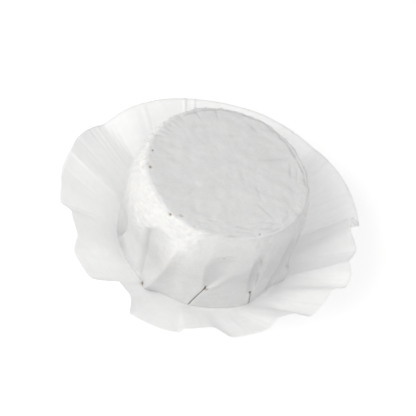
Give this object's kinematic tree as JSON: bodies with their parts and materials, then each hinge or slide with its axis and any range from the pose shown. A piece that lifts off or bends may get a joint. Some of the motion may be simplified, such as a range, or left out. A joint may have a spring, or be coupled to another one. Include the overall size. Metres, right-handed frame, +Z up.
{
  "type": "soft-ripened cheese in opened paper",
  "caption": "Small drum of soft-ripened triple-cream cheese with a white downy rind, lying in its opened round wrapping paper with a wavy skirt.",
  "frame": {"origin": "middle of the paper's flat underside, on the surface that the cheese lies on", "axes": "+Z up through the drum; -Y towards the side that the picture shows in front, +X to its right"},
  "size_m": [0.1317, 0.133, 0.0459],
  "materials": {
    "rind": "matte, downy",
    "wrapping_paper": "smooth, slightly translucent, creased"
  },
  "bodies": {
    "root": {"cheese": "rind", "paper": "wrapping_paper"}
  },
  "joints": []
}
